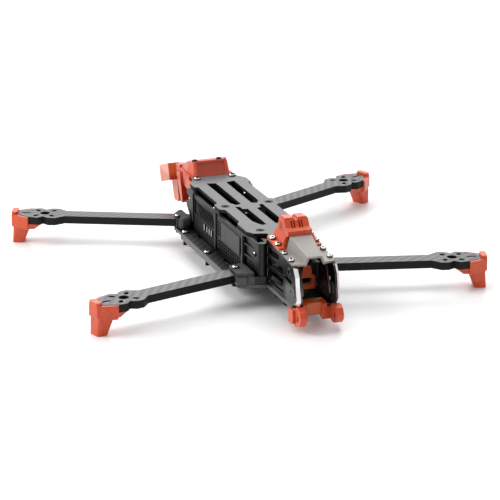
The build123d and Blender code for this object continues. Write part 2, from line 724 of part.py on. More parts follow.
with BuildPart() as cage_hood:
    loft([hood_section(HOOD_REAR_X, 11.4, 8.4, 48.0, 59.6), hood_section(HOOD_FRONT_X, 8.4, 5.6, 45.6, 52.6)])
    flange = [(-3.6, 16.2), (21.0, 16.2), (FLANGE_FRONT_S, 14.6), (FLANGE_FRONT_S + 1.0, 7.0), (-3.6, 9.0)]
    for side in (1, -1):
        prism([(s, side * y) for s, y in flange], DECK, HOOD_T)
    inside = hood_section(HOOD_REAR_X - 1, 10.3, 7.0, 46.0, 58.3)
    loft([inside, hood_section(HOOD_FRONT_X + 1, 7.3, 4.2, 43.6, 51.0)], mode=Mode.SUBTRACT)
    prism(corners_of(-40, -30, 60, 30), DECK.offset(-20), 20, mode=Mode.SUBTRACT)
    hood_spots = [(s, side * CAGE_MID) for s in HOOD_SCREW_S for side in (1, -1)]
    round_holes(hood_spots, M25_HOLE, DECK, HOOD_T)
export_piece(cage_hood, "cage_hood")


# Front antenna mount: printed tower over the roof with two screwed wings

TOWER_HALF = 9.2
TOWER_TOP = 70.4
SHOULDER_HALF = 12.4
TOWER_SLOT_Y = (-3.9, -2.0, 2.0, 3.9)
TOWER_SLOT_Z = 65.4
TOWER_SLOT = (6.2, 1.2)
TOWER_NOTCH = 1.8
HOLLOW_HALF = 6.4

with BuildPart() as antenna_mount_front:
    side_profile = [
        (97.0, TOP_TOP + 0.1),
        (98.2, 58.0),
        (102.4, TOWER_TOP),
        (110.6, TOWER_TOP),
        (115.0, 64.2),
        (120.0, 63.0),
        (120.4, 59.6),
        (118.2, 59.2),
        (119.6, 52.0),
        (119.4, 48.6),
        (112.6, 48.6),
        (112.6, TOP_TOP + 0.1),
    ]
    prism(side_profile, upright(SHOULDER_HALF), 2 * SHOULDER_HALF)
    half_front = [
        (SHOULDER_HALF, 48.0),
        (SHOULDER_HALF, 55.4),
        (TOWER_HALF, 60.6),
        (TOWER_HALF, TOWER_TOP - 1.2),
        (TOWER_HALF - 1.2, TOWER_TOP),
        (TOWER_NOTCH, TOWER_TOP),
        (0.4, TOWER_TOP - TOWER_NOTCH),
    ]
    with BuildSketch(across(90)) as front_profile:
        with BuildLine():
            Polyline(*half_front, *[(-y, z) for y, z in reversed(half_front)], close=True)
        make_face()
    extrude(front_profile.sketch, amount=40, mode=Mode.INTERSECT)
    wing = corners_of(-28.6, 10.0, -4.4, 16.4)
    gusset = [(-21.0, 10.0), (-5.6, 10.0), (-5.6, 12.3), (-17.0, 12.3)]
    for side in (1, -1):
        prism([(s, side * y) for s, y in wing], DECK, WING_T)
        prism([(s, side * y) for s, y in gusset], DECK, 4.6)
    # Room for the hood's rear edge and for the antenna feed, open below
    arch = hood_section(HOOD_REAR_X - 8.0, 11.0, 8.2, 48.0, 59.2)
    loft([arch, hood_section(HOOD_REAR_X, 11.0, 8.2, 48.0, 59.2)], mode=Mode.SUBTRACT)
    hollow = [
        (101.8, 50.0),
        (101.8, 59.0),
        (104.4, 66.6),
        (108.8, 66.6),
        (111.6, 62.0),
        (113.4, 58.0),
        (113.4, 50.0),
    ]
    prism(hollow, upright(HOLLOW_HALF), 2 * HOLLOW_HALF, mode=Mode.SUBTRACT)
    # Antenna slots through the front face and both sides
    with BuildSketch(across(107)) as face_slots:
        with Locations(*[(y, TOWER_SLOT_Z) for y in TOWER_SLOT_Y]):
            SlotOverall(*TOWER_SLOT, rotation=90)
    extrude(face_slots.sketch, amount=9, mode=Mode.SUBTRACT)
    for slot_x in (104.2, 107.8):
        slot_cut(slot_x, 62.8, 8.0, 1.5, upright(TOWER_HALF + 0.1), 2 * TOWER_HALF + 0.2, angle=96)
    # The mount stands on the cage plates' top edges
    for low_y, high_y in ((CAGE_IN - 0.1, 30.0), (-30.0, -CAGE_IN + 0.1)):
        prism(corners_of(-60, low_y, 60, high_y), DECK.offset(-20), 20, mode=Mode.SUBTRACT)
    wing_spots = [(s, side * CAGE_MID) for s in WING_SCREW_S for side in (1, -1)]
    round_holes(wing_spots, M25_HOLE, DECK, WING_T)
export_piece(antenna_mount_front, "antenna_mount_front")


# Camera bracket: a bent alloy U that turns on two pivot pins, with a printed cushion on its back

BRACKET_LOW = 26.0
BRACKET_HIGH = 41.0
PIVOT_BOSS_R = 3.0
CUSHION_HALF = 6.6
CUSHION_WINDOW = (0.0, 29.2, 8.4, 5.2)

with BuildPart() as camera_bracket:
    web = corners_of(BRACKET_REAR, BRACKET_LOW, CUSHION_REAR, BRACKET_HIGH)
    prism(web, upright(BRACKET_OUT), 2 * BRACKET_OUT)
    cheek = [
        (BRACKET_REAR, BRACKET_LOW),
        (131.6, 23.6),
        (137.0, 21.6),
        (147.0, 21.5),
        (152.5, 25.6),
        (150.1, 34.4),
        (146.5, 43.5),
        (139.0, 43.5),
        (BRACKET_REAR, BRACKET_HIGH),
    ]
    for y in (BRACKET_OUT, -BRACKET_IN):
        prism(cheek, upright(y), BRACKET_OUT - BRACKET_IN)
    for side in (1, -1):
        with BuildSketch(upright(side * BRACKET_OUT)) as boss:
            with Locations((PIVOT_X, PIVOT_Z)):
                Circle(PIVOT_BOSS_R)
        extrude(boss.sketch, amount=-side * (CAGE_IN - RUNNING_GAP - BRACKET_OUT))
    round_holes([(PIVOT_X, PIVOT_Z)], M25_R + RUNNING_GAP, upright(CAGE_IN), 2 * CAGE_IN)
    with BuildSketch(across(BRACKET_REAR)) as web_window:
        with Locations(CUSHION_WINDOW[:2]):
            RectangleRounded(CUSHION_WINDOW[2], CUSHION_WINDOW[3], 0.6)
    extrude(web_window.sketch, amount=CUSHION_REAR - BRACKET_REAR, mode=Mode.SUBTRACT)
export_piece(camera_bracket, "camera_bracket")

with BuildPart() as camera_cushion:
    cushion_side = [
        (CUSHION_REAR, BRACKET_LOW),
        (132.2, 23.3),
        (CUSHION_FRONT, 23.3),
        (CUSHION_FRONT, BRACKET_HIGH - 0.2),
        (CUSHION_REAR, BRACKET_HIGH - 0.2),
    ]
    prism(cushion_side, upright(CUSHION_HALF), 2 * CUSHION_HALF)
    with BuildSketch(across(CUSHION_REAR)) as cushion_front:
        with Locations((0, 28.3)):
            RectangleRounded(2 * CUSHION_HALF, 10.4, 1.4)
        with BuildLine():
            Polyline((4.6, 32.0), (2.4, 42.0), (-2.4, 42.0), (-4.6, 32.0), close=True)
        make_face()
    extrude(cushion_front.sketch, amount=CUSHION_FRONT - CUSHION_REAR, mode=Mode.INTERSECT)
    with BuildSketch(across(CUSHION_REAR)) as cable_window:
        with Locations(CUSHION_WINDOW[:2]):
            RectangleRounded(CUSHION_WINDOW[2], CUSHION_WINDOW[3], 0.6)
    extrude(cable_window.sketch, amount=CUSHION_FRONT - CUSHION_REAR, mode=Mode.SUBTRACT)
export_piece(camera_cushion, "camera_cushion")


# Nose bumper: printed blocks below the cage plates joined by a thin web, with a round lug under each

BUMPER_REAR = 139.4
BUMPER_FRONT = 150.0
WEB_HALF = 5.5
LUG_Y = (11.7, 16.5)
OUTER_BLOCK_Y = 18.9
BUMPER_SEAT_Z = 10.0

with BuildPart() as nose_bumper:
    beam_top = BASE_LOW - 0.1
    beam = [(BUMPER_REAR, 9.0), (BUMPER_FRONT, 5.2), (BUMPER_FRONT, beam_top), (BUMPER_REAR, beam_top)]
    prism(beam, upright(LUG_Y[1]), 2 * LUG_Y[1])
    raised = [
        (BUMPER_REAR, 10.0),
        (BUMPER_FRONT, 8.4),
        (BUMPER_FRONT, BASE_TOP),
        (146.4, 18.2),
        (BUMPER_REAR, 18.2),
    ]
    prism(raised, upright(NOSE_NOTCH_Y - 0.2), 2 * (NOSE_NOTCH_Y - 0.2))
    # Between the centre blocks the bumper thins to a web
    prism(corners_of(148.2, -WEB_HALF, 152.0, WEB_HALF), level(0), 20, mode=Mode.SUBTRACT)
    under_web = [(138.0, 0), (152.0, 0), (152.0, 8.2), (138.0, 9.6)]
    prism(under_web, upright(WEB_HALF), 2 * WEB_HALF, mode=Mode.SUBTRACT)
    for side in (1, -1):
        lug = [
            (BUMPER_FRONT + 0.1, 5.0),
            (BUMPER_FRONT + 0.1, 16.6),
            (151.6, 16.8),
            (155.4, 18.4),
            (157.4, 18.4),
            (161.6, 16.6),
            (NOSE_TIP, 12.4),
            (163.2, 8.4),
            (160.6, 5.6),
            (154.4, 3.6),
        ]
        root = [(148.0, 5.6), (151.4, 5.2), (151.4, 14.3), (148.0, 14.3)]
        lug_face = LUG_Y[1] if side == 1 else -LUG_Y[0]
        prism(lug, upright(lug_face), LUG_Y[1] - LUG_Y[0], corner=0.5)
        prism(root, upright(lug_face), LUG_Y[1] - LUG_Y[0])
        outer = [(145.6, 5.4), (145.6, 14.3), (150.2, 16.2), (153.6, 16.2), (154.6, 11.4), (153.6, 6.0)]
        outer_face_y = OUTER_BLOCK_Y if side == 1 else -LUG_Y[1]
        prism(outer, upright(outer_face_y), OUTER_BLOCK_Y - LUG_Y[1], corner=0.8)
    slot_cut(158.2, 10.6, 5.0, 2.6, upright(21), 42, angle=80)
    bumper_spots = both_sides((BUMPER_SCREW_X, CAGE_MID))
    round_holes(bumper_spots, M25_HOLE, level(0), BASE_LOW)
    round_holes(bumper_spots, SMALL_HEAD_R + 0.2, level(0), BUMPER_SEAT_Z)
export_piece(nose_bumper, "nose_bumper")


# Tail: a printed bracket on the rear standoffs, with leaning antenna sockets and bumper fins

SOCKET_SIDE = ((TAIL_TIP, 45.5), (-104.7, 53.0), (-100.1, 40.4), (-122.1, 33.0))
SOCKET_Y = (15.0, 24.5)
SOCKET_BORE_R = 3.2
SOCKET_LEAN = 19.0
SOCKET_AXIS = (-113.4, 43.0)
SLEEVE = ((-57.5, 18.6), (-57.5, 9.6), (-72.0, 9.6), (-72.0, 18.6))
FIN_LONG = ((-100.0, 44.5), (-98.0, 48.6), (-92.0, 48.6), (-85.2, 27.0), (-86.3, 25.0), (-88.6, 25.0))
FIN_SHORT = ((-119.5, 34.6), (-106.5, 39.4), (-102.4, 24.0), (-104.5, 20.5), (-112.5, 19.6), (-114.5, 21.5))
FIN_LONG_Y = (13.4, 19.0)
FIN_SHORT_Y = (12.0, 16.3)


def slab(points, low, high, side):
    """Upright slab between two distances from the centre line, on one side of it."""
    prism(points, upright(high if side == 1 else -low), high - low)


with BuildPart() as antenna_mount_rear:
    for side in (1, -1):
        prism([(x, side * y) for x, y in SLEEVE], level(37.0), TOP_LOW - 37.1, corner=1.0)
    spine = [(-71.5, 18.6), (-95.0, 16.0), (-95.0, -16.0), (-71.5, -18.6)]
    prism(spine, level(39.0), TOP_TOP - 39.0, corner=1.0)
    for side in (1, -1):
        neck = [(-94.0, 10.0), (-104.0, 12.0), (-104.0, 18.0), (-94.0, 16.0)]
        prism([(x, side * y) for x, y in neck], level(43.0), TOP_TOP - 43.0)
        shoulder = [(-98.2, 11.0), (-104.0, 12.0), (-104.0, 18.0), (-98.2, 16.8)]
        prism([(x, side * y) for x, y in shoulder], level(43.0), 9.6)
        slab(SOCKET_SIDE, SOCKET_Y[0], SOCKET_Y[1], side)
        slab(FIN_LONG, FIN_LONG_Y[0], FIN_LONG_Y[1], side)
        slab(FIN_SHORT, FIN_SHORT_Y[0], FIN_SHORT_Y[1], side)
        lean = radians(SOCKET_LEAN)
        socket_plane = Plane(
            origin=(SOCKET_AXIS[0], side * sum(SOCKET_Y) / 2, SOCKET_AXIS[1]),
            x_dir=(cos(lean), 0, sin(lean)),
            z_dir=(-sin(lean), 0, cos(lean)),
        )
        with BuildSketch(socket_plane.offset(-12)) as bore:
            Circle(SOCKET_BORE_R)
        extrude(bore.sketch, amount=24, mode=Mode.SUBTRACT)
    round_holes(both_sides(REAR_POST), STANDOFF_R + RUNNING_GAP, level(36.0), 13.0)
    round_holes(both_sides(GPS_SCREW), M3_HOLE, level(38.0), 14.0)
    prism(corners_of(-92.0, -12.0, -72.5, 12.0), level(38.0), 8.0, mode=Mode.SUBTRACT)
export_piece(antenna_mount_rear, "antenna_mount_rear")

# The receiver box leans back from the top plate, and its roof falls away to the rear
GPS_LOW = TOP_TOP + 0.1
GPS_HIGH = 61.8
GPS_HALF_LOW = 15.2
GPS_HALF_HIGH = 14.2
GPS_FOOT = -67.6
GPS_RIDGE = -73.3
GPS_SEAT = 59.6
GPS_SEAT_X = (-77.4, -84.6)
GPS_CORNER = 1.8
with BuildPart() as gps_mount:
    gps_side = [
        (GPS_FOOT, GPS_LOW),
        (GPS_RIDGE, GPS_HIGH),
        (GPS_SEAT_X[0], GPS_SEAT),
        (GPS_SEAT_X[1], GPS_SEAT),
        (-96.0, 54.0),
        (-97.0, GPS_LOW),
    ]
    prism(gps_side, upright(GPS_HALF_LOW), 2 * GPS_HALF_LOW)
    front_corners = [e for e in gps_mount.edges() if e.center().X > GPS_RIDGE and abs(e.center().Y) > 1]
    chamfer(front_corners, GPS_CORNER)
    with BuildSketch(across(-100)) as gps_front:
        with BuildLine():
            Polyline(
                (GPS_HALF_LOW, GPS_LOW),
                (GPS_HALF_HIGH, GPS_HIGH - 1.2),
                (GPS_HALF_HIGH - 1.2, GPS_HIGH),
                (-GPS_HALF_HIGH + 1.2, GPS_HIGH),
                (-GPS_HALF_HIGH, GPS_HIGH - 1.2),
                (-GPS_HALF_LOW, GPS_LOW),
                close=True,
            )
        make_face()
    extrude(gps_front.sketch, amount=40, mode=Mode.INTERSECT)
    # Shallow panel sunk into the leaning front face, and the well for the receiver
    lean_plane = Plane(
        origin=((GPS_FOOT + GPS_RIDGE) / 2, 0, (GPS_LOW + GPS_HIGH) / 2),
        x_dir=(0, 1, 0),
        z_dir=(GPS_HIGH - GPS_LOW, 0, GPS_FOOT - GPS_RIDGE),
    )
    with BuildSketch(lean_plane) as face_panel:
        RectangleRounded(22.4, 9.2, 0.8)
    extrude(face_panel.sketch, amount=-0.9, mode=Mode.SUBTRACT)
    with BuildSketch(level(GPS_LOW)) as well:
        with Locations((-86.5, 0)):
            RectangleRounded(13.0, 13.0, 1.5)
    extrude(well.sketch, amount=4.0, mode=Mode.SUBTRACT)
    round_holes(both_sides(GPS_SCREW), M3_HOLE, level(TOP_TOP), GPS_HIGH)
export_piece(gps_mount, "gps_mount")


# Standoffs between the plates

with BuildPart() as standoffs:
    for spots, low in (((MID_POST, REAR_POST), BASE_TOP), ((FRONT_POST,), ARM_TOP + BRACE_T)):
        with BuildSketch(level(low)) as posts:
            with Locations(*both_sides(*spots)):
                Circle(STANDOFF_R)
                Circle(M3_R + RUNNING_GAP, mode=Mode.SUBTRACT)
        extrude(posts.sketch, amount=TOP_LOW - low)
export_piece(standoffs, "standoffs")


# Screws and nuts

def under(z):
    """Plane facing down at height z: local x is forward and local y runs to the right."""
    return Plane(origin=(0, 0, z), x_dir=(1, 0, 0), z_dir=(0, 0, -1))


with BuildPart() as top_screws_sunk:
    with BuildSketch(level(TOP_TOP - 0.05)) as sunk_heads:
        with Locations(*both_sides(FRONT_POST, MID_POST)):
            Circle(SINK_R - 0.15)
    extrude(sunk_heads.sketch, amount=-SINK_DEPTH + 0.1, taper=45)
    with BuildSketch(level(TOP_TOP - 0.4)) as sunk_shanks:
        with Locations(*both_sides(FRONT_POST, MID_POST)):
            Circle(M3_R)
    extrude(sunk_shanks.sketch, amount=-8.0)
    with BuildSketch(level(TOP_TOP)) as sunk_sockets:
        with Locations(*both_sides(FRONT_POST, MID_POST)):
            RegularPolygon(1.35, 6)
    extrude(sunk_sockets.sketch, amount=-1.4, mode=Mode.SUBTRACT)
export_piece(top_screws_sunk, "top_screws_sunk")

with BuildPart() as top_screws_rear:
    fasteners(both_sides(REAR_POST), level(TOP_TOP), HEAD_R, HEAD_H, M3_R, 8.0)
export_piece(top_screws_rear, "top_screws_rear")

with BuildPart() as post_screws:
    fasteners(both_sides(MID_POST, REAR_POST), under(LOWER_LOW), HEAD_R, HEAD_H, M3_R, 12.0)
    fasteners(both_sides(FRONT_POST), under(LOWER_LOW), HEAD_R, HEAD_H, M3_R, 20.0)
export_piece(post_screws, "post_screws")

with BuildPart() as arm_bolts_rear:
    fasteners(both_sides(REAR_BOLT), under(LOWER_LOW), HEAD_R, HEAD_H, M3_R, 16.5)
export_piece(arm_bolts_rear, "arm_bolts_rear")

with BuildPart() as arm_nuts_rear:
    with BuildSketch(level(ARM_TOP + BRACE_T)) as nuts:
        with Locations(*both_sides(REAR_BOLT)):
            RegularPolygon(NUT_R, 6)
            Circle(M3_R + RUNNING_GAP, mode=Mode.SUBTRACT)
    extrude(nuts.sketch, amount=NUT_H)
export_piece(arm_nuts_rear, "arm_nuts_rear")

with BuildPart() as clamp_screws_front:
    fasteners(both_sides(FRONT_OUTER_BOLT), level(ARM_TOP + CAP_T), HEAD_R, HEAD_H, M3_R, 14.0)
export_piece(clamp_screws_front, "clamp_screws_front")

with BuildPart() as clamp_nuts_front:
    with BuildSketch(under(BASE_LOW)) as nuts:
        with Locations(*both_sides(FRONT_OUTER_BOLT)):
            RegularPolygon(NUT_R, 6)
            Circle(M3_R + RUNNING_GAP, mode=Mode.SUBTRACT)
    extrude(nuts.sketch, amount=NUT_H)
export_piece(clamp_nuts_front, "clamp_nuts_front")

with BuildPart() as clamp_screws_rear:
    fasteners(both_sides(REAR_CLAMP_BOLT), level(ARM_TOP + CAP_T), SMALL_HEAD_R, SMALL_HEAD_H, M25_R, 13.0)
export_piece(clamp_screws_rear, "clamp_screws_rear")

with BuildPart() as flange_screws:
    fasteners(flange_bolts, level(BASE_TOP), HEAD_R, HEAD_H, M3_R, 10.0)
export_piece(flange_screws, "flange_screws")

with BuildPart() as cage_screws:
    cage_spots = both_sides(*[(x, CAGE_MID) for x in CAGE_SCREW_X])
    fasteners(cage_spots, under(BASE_LOW), SMALL_HEAD_R, 2.0, M25_R, 5.2)
export_piece(cage_screws, "cage_screws")

with BuildPart() as bumper_screws:
    fasteners(both_sides((BUMPER_SCREW_X, CAGE_MID)), under(BUMPER_SEAT_Z), SMALL_HEAD_R, 2.0, M25_R, 9.6)
export_piece(bumper_screws, "bumper_screws")

with BuildPart() as hood_screws:
    fasteners(hood_spots, DECK.offset(HOOD_T), SMALL_HEAD_R, SMALL_HEAD_H, M25_R, HOOD_T + 4.0)
export_piece(hood_screws, "hood_screws")

with BuildPart() as wing_screws:
    fasteners(wing_spots, DECK.offset(WING_T), SMALL_HEAD_R, SMALL_HEAD_H, M25_R, WING_T + 4.0)
export_piece(wing_screws, "wing_screws")

with BuildPart() as gps_screws:
    fasteners(both_sides(GPS_SCREW), level(GPS_SEAT), 2.2, 1.1, M3_R, 15.0)
export_piece(gps_screws, "gps_screws")


def facing(side, y):
    """Plane looking outward from one flank; local x is forward on both sides."""
    return Plane(origin=(0, side * y, 0), x_dir=(side * -1, 0, 0), z_dir=(0, side, 0))


with BuildPart() as panel_screws:
    for side in (1, -1):
        spot = [(side * -1 * PANEL_SCREW[0], PANEL_SCREW[1])]
        fasteners(spot, facing(side, PANEL_OUT - BAY_DEPTH), 1.9, 1.2, M2_R, PANEL_OUT - BAY_DEPTH - CAGE_IN)
export_piece(panel_screws, "panel_screws")

PIN_SUNK = 0.5
with BuildPart() as pivot_pins:
    for side in (1, -1):
        with BuildSketch(facing(side, CAGE_OUT - PIN_SUNK)) as pins:
            with Locations((side * -1 * PIVOT_X, PIVOT_Z)):
                Circle(M25_R)
        extrude(pins.sketch, amount=-(CAGE_OUT - PIN_SUNK - BRACKET_IN))
export_piece(pivot_pins, "pivot_pins")
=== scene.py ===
import json
import math

import bpy
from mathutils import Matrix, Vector

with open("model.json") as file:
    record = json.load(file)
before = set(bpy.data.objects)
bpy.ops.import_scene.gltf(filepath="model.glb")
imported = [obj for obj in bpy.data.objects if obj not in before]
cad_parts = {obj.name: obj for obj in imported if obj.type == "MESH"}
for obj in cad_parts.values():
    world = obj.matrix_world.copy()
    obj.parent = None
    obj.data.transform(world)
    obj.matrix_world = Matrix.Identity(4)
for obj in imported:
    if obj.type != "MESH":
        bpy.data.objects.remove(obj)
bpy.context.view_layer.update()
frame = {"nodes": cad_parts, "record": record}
nodes = frame["nodes"]

MM = 0.001
TRUE_LENGTHS = (1.0 / MM,) * 3

# --- material graphs ------------------------------------------------------------------------------

OCCLUSION_SAMPLES = 8
BEVEL_SAMPLES = 4


class Graph:
    """A material's node tree, with short calls for the nodes used below."""

    def __init__(self, name):
        self.material = bpy.data.materials.new(name)
        self.material.use_nodes = True
        self.tree = self.material.node_tree
        self.tree.nodes.clear()
        self.output = self.tree.nodes.new("ShaderNodeOutputMaterial")

    def node(self, kind, inputs=None, **settings):
        made = self.tree.nodes.new("ShaderNode" + kind)
        for key, value in settings.items():
            setattr(made, key, value)
        for key, value in (inputs or {}).items():
            self.feed(made.inputs[key], value)
        return made

    def feed(self, socket, value):
        if isinstance(value, bpy.types.NodeSocket):
            self.tree.links.new(value, socket)
        elif socket.type == "RGBA" and len(value) == 3:
            socket.default_value = (*value, 1.0)
        else:
            socket.default_value = value

    def math(self, operation, a, b=0.0):
        return self.node("Math", {0: a, 1: b}, operation=operation).outputs[0]

    def times(self, first, *others):
        for other in others:
            first = self.math("MULTIPLY", first, other)
        return first

    def ramp(self, value, low, high, to_low=0.0, to_high=1.0):
        limits = {"From Min": low, "From Max": high, "To Min": to_low, "To Max": to_high}
        return self.node("MapRange", {"Value": value, **limits}).outputs["Result"]

    def mix(self, factor, a, b):
        made = self.tree.nodes.new("ShaderNodeMix")
        made.data_type = "RGBA"
        self.feed(made.inputs["Factor"], factor)
        self.feed(made.inputs["A"], a)
        self.feed(made.inputs["B"], b)
        return made.outputs["Result"]

    def place(self, turn=0.0):
        """Object coordinates in millimetres, turned about the upright axis."""
        spot = self.node("TexCoord").outputs["Object"]
        return self.mapped(spot, Rotation=(0, 0, math.radians(turn)), Scale=TRUE_LENGTHS)

    def mapped(self, vector, **changes):
        return self.node("Mapping", {"Vector": vector, **changes}).outputs["Vector"]

    def axes(self, vector):
        return self.node("SeparateXYZ", {"Vector": vector}).outputs

    def normals(self, kind="True Normal"):
        return self.axes(self.node("NewGeometry").outputs[kind])

    def noise(self, vector, scale, detail):
        inputs = {"Vector": vector, "Scale": scale, "Detail": detail}
        return self.node("TexNoise", inputs).outputs["Fac"]

    def occlusion(self, reach):
        inputs = {"Distance": reach * MM}
        return self.node("AmbientOcclusion", inputs, samples=OCCLUSION_SAMPLES).outputs["AO"]

    def bump(self, height, distance, strength, normal):
        inputs = {
            "Height": height, "Distance": distance * MM, "Strength": strength, "Normal": normal
        }
        return self.node("Bump", inputs).outputs["Normal"]

    def bevel(self, radius):
        inputs = {"Radius": radius * MM}
        return self.node("Bevel", inputs, samples=BEVEL_SAMPLES).outputs["Normal"]

    def surface(self, shader):
        self.tree.links.new(shader, self.output.inputs["Surface"])
        return self.material


def principled(graph, **inputs):
    names = {key.replace("_", " "): value for key, value in inputs.items()}
    return graph.node("BsdfPrincipled", names).outputs["BSDF"]


def scaled(colour, factor, added=0.0):
    return tuple(channel * factor + added for channel in colour)


def edge_wear(graph, radius):
    """Near 1 on outer edges: how far the bevelled normal leans from the true one."""
    soft = graph.bevel(radius)
    true = graph.node("NewGeometry").outputs["True Normal"]
    dot = graph.node("VectorMath", {0: soft, 1: true}, operation="DOT_PRODUCT")
    return graph.ramp(dot.outputs["Value"], 0.995, 0.86)


def open_air(graph, reach, low=0.35, high=0.85):
    """1 on open faces, falling to 0 down in crevices and boxed-in places."""
    return graph.ramp(graph.occlusion(reach), low, high)


TOW = 2.0
PLY_PAIR = 0.5
TWILL = 4.0  # tows in one repeat of the weave
FIBRE_SCALES = (9, 0.6)  # across and along a tow
CUT_ROUGH = 0.55


def carbon(
    name, turn, weave_depth=1.0, sheen=(0.062, 0.062, 0.065), cut_edge=0.014, shine=0.5,
    boxed_in=False,
):
    """Twill-woven laminate: 2 mm tows on the faces, stacked plies on the cut edges."""
    g = Graph(name)
    place = g.place(turn)
    x, y, z = g.axes(place)[:3]
    across = g.math("DIVIDE", x, TOW)
    along = g.math("DIVIDE", y, TOW)
    step = g.math("ADD", g.math("FLOOR", across), g.math("FLOOR", along))
    warp = g.math("LESS_THAN", g.math("FLOORED_MODULO", step, TWILL), 1.5)
    weft = g.math("SUBTRACT", 1.0, warp)
    warp_profile = g.times(warp, g.math("PINGPONG", across, 0.5))
    weft_profile = g.times(weft, g.math("PINGPONG", along, 0.5))
    profile = g.math("ADD", warp_profile, weft_profile)
    fine, long = FIBRE_SCALES
    warp_fibres = g.noise(g.mapped(place, Scale=(fine, long, 1)), 1.0, 4.0)
    weft_fibres = g.noise(g.mapped(place, Scale=(long, fine, 1)), 1.0, 4.0)
    strand = g.math("ADD", g.times(warp, warp_fibres), g.times(weft, weft_fibres))
    low = scaled(sheen, 1.0 - 0.55 * weave_depth)
    high = scaled(sheen, 1.0 + 0.65 * weave_depth)
    weave = g.mix(warp, low, high)
    weave = g.mix(g.times(strand, 0.5 * weave_depth), weave, scaled(sheen, 1.6))
    plies = g.math("PINGPONG", g.math("DIVIDE", z, PLY_PAIR), 0.5)
    cut = g.mix(plies, (cut_edge * 0.25,) * 3, (cut_edge,) * 3)
    face = g.ramp(g.math("ABSOLUTE", g.normals("Normal")[2]), 0.80, 0.92)
    blotch = g.noise(place, 0.04, 2.0)
    colour = g.mix(face, cut, weave)
    specular = g.ramp(face, 0.0, 1.0, 0.22, shine)
    # Painted shade: when boxed in, colour and gloss fall to black in crevices and near walls, by
    # ambient occlusion
    if boxed_in:
        air = open_air(g, 22.0, 0.45, 0.9)
        colour = g.mix(air, (0.002, 0.002, 0.002), colour)
        specular = g.times(specular, air)
    crown = g.ramp(profile, 0.0, 0.5, 0.46, 0.46 - 0.14 * weave_depth)
    face_rough = g.times(face, g.math("ADD", g.times(blotch, 0.10), crown))
    edge_rough = g.times(g.math("SUBTRACT", 1.0, face), CUT_ROUGH)
    rough = g.math("ADD", face_rough, edge_rough)
    relief = g.times(profile, face)
    normal = g.bump(relief, 0.10, 0.5 * weave_depth + 0.05, g.bevel(0.2))
    return g.surface(principled(
        g, Base_Color=colour, Roughness=rough, Specular_IOR_Level=specular, Normal=normal
    ))


# Colour zones of the printed pieces: where a zone starts and where it is full, in millimetres
BODY_Y = (45.0, 40.0)  # only the feet are farther out
WEB_X = (108.0, 118.0)
WEB_Y = (6.5, 4.5)
SOCKET_X = (-116.0, -124.0)
BOX_PANEL_REAR_X = (-92.4, -91.8)
BOX_PANEL_FRONT_X = (-84.0, -84.6)
BOX_PANEL_Y = (12.0, 11.4)
TAIL_FIN_X = (-98.0, -104.0)
TAIL_FIN_Z = (46.0, 42.0)
TAIL_FLANK_X = (-100.0, -106.0)

RUBBED_RED = (0.92, 0.40, 0.26)
AMBER = (0.62, 0.15, 0.010)
DULL_RED = (0.28, 0.055, 0.040)
SHADED_RED = (0.26, 0.008, 0.006)
PAINTED_SHEEN_PINK = (0.88, 0.60, 0.58)
GLOW = (1.0, 0.24, 0.03)

PRINT_LAYER = 0.3


